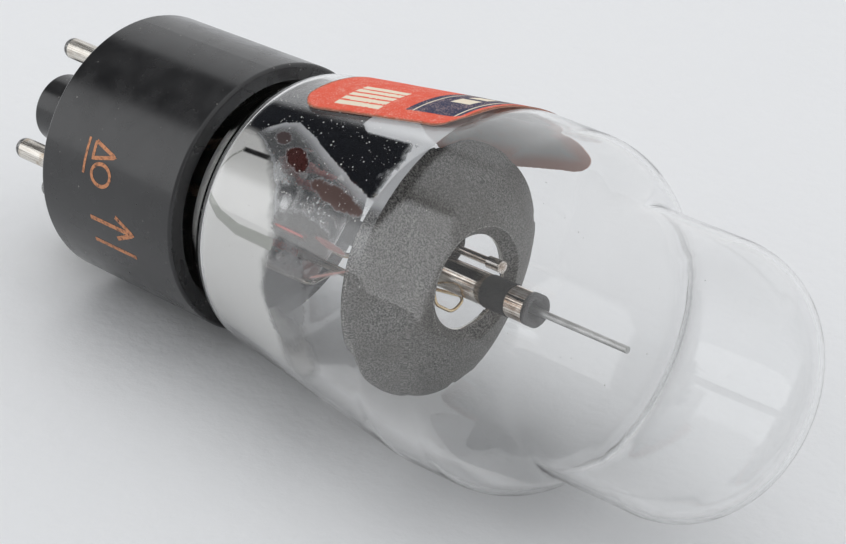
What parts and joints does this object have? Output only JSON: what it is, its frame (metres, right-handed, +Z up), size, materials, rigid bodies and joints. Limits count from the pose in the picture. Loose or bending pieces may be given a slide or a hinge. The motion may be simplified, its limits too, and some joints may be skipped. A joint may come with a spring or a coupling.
{
  "type": "vacuum tube",
  "caption": "Shouldered glass gas-relay tube on a keyed octal base, with a dished cathode disc, starter sleeve and central anode wire.",
  "frame": {"origin": "on the tube's axis, in the plane of the base shell's end face that rests on the socket", "axes": "+X along the tube's axis towards the dome, +Z up as the tube lies on its side; the pins point along -X"},
  "size_m": [0.1044, 0.0382, 0.0382],
  "materials": {
    "phenolic": "moulded black phenolic, satin gloss, dusty",
    "pin_plating": "nickel-plated brass, lightly drawn lines",
    "solder": "dull grey tin-lead solder",
    "cement": "dark basing cement",
    "bulb_glass": "clear lime glass",
    "stem_glass": "clear lead glass",
    "copper_seal": "red copper-clad seal wire",
    "copper_wire": "bare copper",
    "nickel": "drawn nickel",
    "coated_nickel": "sprayed grey emissive coating, fine grain",
    "carbon_coating": "sprayed dark coating",
    "getter_mirror": "evaporated metal mirror",
    "label_paper": "orange-red printed paper"
  },
  "bodies": {
    "root": {"anode_insulator": "stem_glass", "anode_lead": "copper_wire", "anode_wire": "nickel", "base_cement": "cement", "base_shell": "phenolic", "brace_crimp": "nickel", "brace_rod": "nickel", "bulb": "bulb_glass", "cathode_disc": "coated_nickel", "cathode_lead": "copper_wire", "disc_support_left": "nickel", "disc_support_right": "nickel", "exhaust_tube": "stem_glass", "getter_cup": "nickel", "getter_film": "getter_mirror", "getter_wire": "nickel", "lead_seals": "copper_seal", "paper_label": "label_paper", "pin_1": "pin_plating", "pin_2": "pin_plating", "pin_3": "pin_plating", "pin_5": "pin_plating", "pin_7": "pin_plating", "pin_8": "pin_plating", "pin_solder": "solder", "sleeve_clamp": "nickel", "sleeve_coating": "carbon_coating", "starter_hairpin": "nickel", "starter_lead": "copper_wire", "starter_sleeve": "nickel", "starter_wire": "nickel", "stem_flare": "stem_glass", "stem_press": "stem_glass"}
  },
  "joints": []
}
